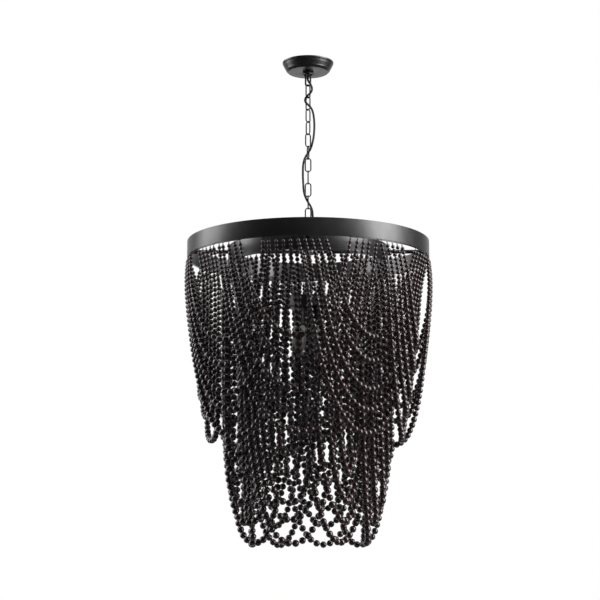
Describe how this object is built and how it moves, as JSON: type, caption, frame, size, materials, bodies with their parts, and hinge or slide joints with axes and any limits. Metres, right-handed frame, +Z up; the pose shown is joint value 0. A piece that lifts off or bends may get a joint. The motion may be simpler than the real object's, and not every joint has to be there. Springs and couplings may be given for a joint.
{
  "type": "beaded chandelier",
  "caption": "Ceiling pendant with a canopy, a chain and lead, two concentric metal rings on spokes, a lamp cluster and two tiers of dark wooden bead swags.",
  "frame": {"origin": "on the chain's axis in the plane of the ceiling that the mounting bar and the canopy lie against", "axes": "+Z up into the ceiling, -Y the front, the side that the picture was taken from, +X to its right"},
  "size_m": [0.6049, 0.6051, 1.2131],
  "materials": {
    "painted_metal": "satin charcoal paint",
    "plain_steel": "zinc plated",
    "dark_wood": "dark stained, matte",
    "black_plastic": "black, matte",
    "frosted_glass": "frosted white"
  },
  "bodies": {
    "ceiling_fixing": {"crossbar": "plain_steel", "bar_nut_upper": "plain_steel", "bar_nut_lower": "plain_steel", "threaded_nipple": "plain_steel", "ceiling_loop": "painted_metal"},
    "canopy_body": {"canopy": "painted_metal", "canopy_collar": "painted_metal"},
    "link_01": {"chain_link_01": "painted_metal"},
    "link_02": {"chain_link_02": "painted_metal"},
    "link_03": {"chain_link_03": "painted_metal"},
    "link_04": {"chain_link_04": "painted_metal"},
    "link_05": {"chain_link_05": "painted_metal"},
    "link_06": {"chain_link_06": "painted_metal"},
    "link_07": {"chain_link_07": "painted_metal"},
    "link_08": {"chain_link_08": "painted_metal"},
    "link_09": {"chain_link_09": "painted_metal"},
    "link_10": {"chain_link_10": "painted_metal"},
    "link_11": {"chain_link_11": "painted_metal"},
    "link_12": {"chain_link_12": "painted_metal"},
    "frame_body": {"hub_loop": "painted_metal", "hub_nut": "painted_metal", "hub": "painted_metal", "threaded_stem": "painted_metal", "spoke_1": "painted_metal", "spoke_2": "painted_metal", "spoke_3": "painted_metal", "spoke_4": "painted_metal", "outer_ring": "painted_metal", "inner_ring": "painted_metal", "pan_nut": "painted_metal", "pan_cover": "painted_metal", "lamp_pan": "painted_metal", "finial": "painted_metal", "lamp_holder_1": "black_plastic", "lamp_holder_2": "black_plastic", "lamp_holder_3": "black_plastic", "lamp_holder_4": "black_plastic", "supply_lead": "black_plastic", "upper_swags_1": "dark_wood", "upper_swags_2": "dark_wood", "upper_swags_3": "dark_wood", "upper_swags_4": "dark_wood", "upper_swags_5": "dark_wood", "upper_swags_6": "dark_wood", "upper_swags_7": "dark_wood", "upper_swags_8": "dark_wood", "upper_swags_9": "dark_wood", "lower_swags_1": "dark_wood", "lower_swags_2": "dark_wood", "lower_swags_3": "dark_wood", "lower_swags_4": "dark_wood", "lower_swags_5": "dark_wood", "lower_swags_6": "dark_wood", "lower_swags_7": "dark_wood", "lower_swags_8": "dark_wood"},
    "lamp_1": {"bulb_1": "frosted_glass"},
    "lamp_2": {"bulb_2": "frosted_glass"},
    "lamp_3": {"bulb_3": "frosted_glass"},
    "lamp_4": {"bulb_4": "frosted_glass"}
  },
  "joints": [
    {"name": "canopy_drop", "type": "slide", "parent": "ceiling_fixing", "child": "canopy_body", "axis": [0, 0, -1], "range_m": [0, 0.05]},
    {"name": "turn_00", "type": "hinge", "parent": "ceiling_fixing", "child": "link_01", "pos_m": [0, 0, -0.06035], "axis": [0, 0, 1], "range_deg": [-12, 12], "deforming": ["supply_lead"]},
    {"name": "swing_01", "type": "hinge", "parent": "link_01", "child": "link_02", "pos_m": [0, 0, -0.0923], "axis": [0.7071, 0.7071, 0], "range_deg": [-8, 8]},
    {"name": "swing_02", "type": "hinge", "parent": "link_02", "child": "link_03", "pos_m": [0, 0, -0.12425], "axis": [-0.7071, 0.7071, 0], "range_deg": [-8, 8]},
    {"name": "swing_03", "type": "hinge", "parent": "link_03", "child": "link_04", "pos_m": [0, 0, -0.1562], "axis": [0.7071, 0.7071, 0], "range_deg": [-8, 8]},
    {"name": "turn_04", "type": "hinge", "parent": "link_04", "child": "link_05", "pos_m": [0, 0, -0.18815], "axis": [0, 0, 1], "range_deg": [-12, 12]},
    {"name": "swing_05", "type": "hinge", "parent": "link_05", "child": "link_06", "pos_m": [0, 0, -0.2201], "axis": [0.8733, 0.4873, 0], "range_deg": [-8, 8]},
    {"name": "swing_06", "type": "hinge", "parent": "link_06", "child": "link_07", "pos_m": [0, 0, -0.25205], "axis": [-0.273, 0.962, 0], "range_deg": [-8, 8]},
    {"name": "swing_07", "type": "hinge", "parent": "link_07", "child": "link_08", "pos_m": [0, 0, -0.284], "axis": [0.9967, 0.0816, 0], "range_deg": [-8, 8]},
    {"name": "turn_08", "type": "hinge", "parent": "link_08", "child": "link_09", "pos_m": [0, 0, -0.31595], "axis": [0, 0, 1], "range_deg": [-12, 12]},
    {"name": "swing_09", "type": "hinge", "parent": "link_09", "child": "link_10", "pos_m": [0, 0, -0.3479], "axis": [1, 0, 0], "range_deg": [-8, 8]},
    {"name": "swing_10", "type": "hinge", "parent": "link_10", "child": "link_11", "pos_m": [0, 0, -0.37985], "axis": [0, 1, 0], "range_deg": [-8, 8]},
    {"name": "swing_11", "type": "hinge", "parent": "link_11", "child": "link_12", "pos_m": [0, 0, -0.4118], "axis": [1, 0, 0], "range_deg": [-8, 8]},
    {"name": "turn_12", "type": "hinge", "parent": "link_12", "child": "frame_body", "pos_m": [0, 0, -0.44375], "axis": [0, 0, 1], "range_deg": [-12, 12]},
    {"name": "bulb_screw_1", "type": "hinge", "parent": "frame_body", "child": "lamp_1", "pos_m": [0.02121, -0.02121, -0.7], "axis": [0, 0, 1], "continuous": true},
    {"name": "bulb_screw_2", "type": "hinge", "parent": "frame_body", "child": "lamp_2", "pos_m": [0.02121, 0.02121, -0.7], "axis": [0, 0, 1], "continuous": true},
    {"name": "bulb_screw_3", "type": "hinge", "parent": "frame_body", "child": "lamp_3", "pos_m": [-0.02121, 0.02121, -0.7], "axis": [0, 0, 1], "continuous": true},
    {"name": "bulb_screw_4", "type": "hinge", "parent": "frame_body", "child": "lamp_4", "pos_m": [-0.02121, -0.02121, -0.7], "axis": [0, 0, 1], "continuous": true}
  ]
}
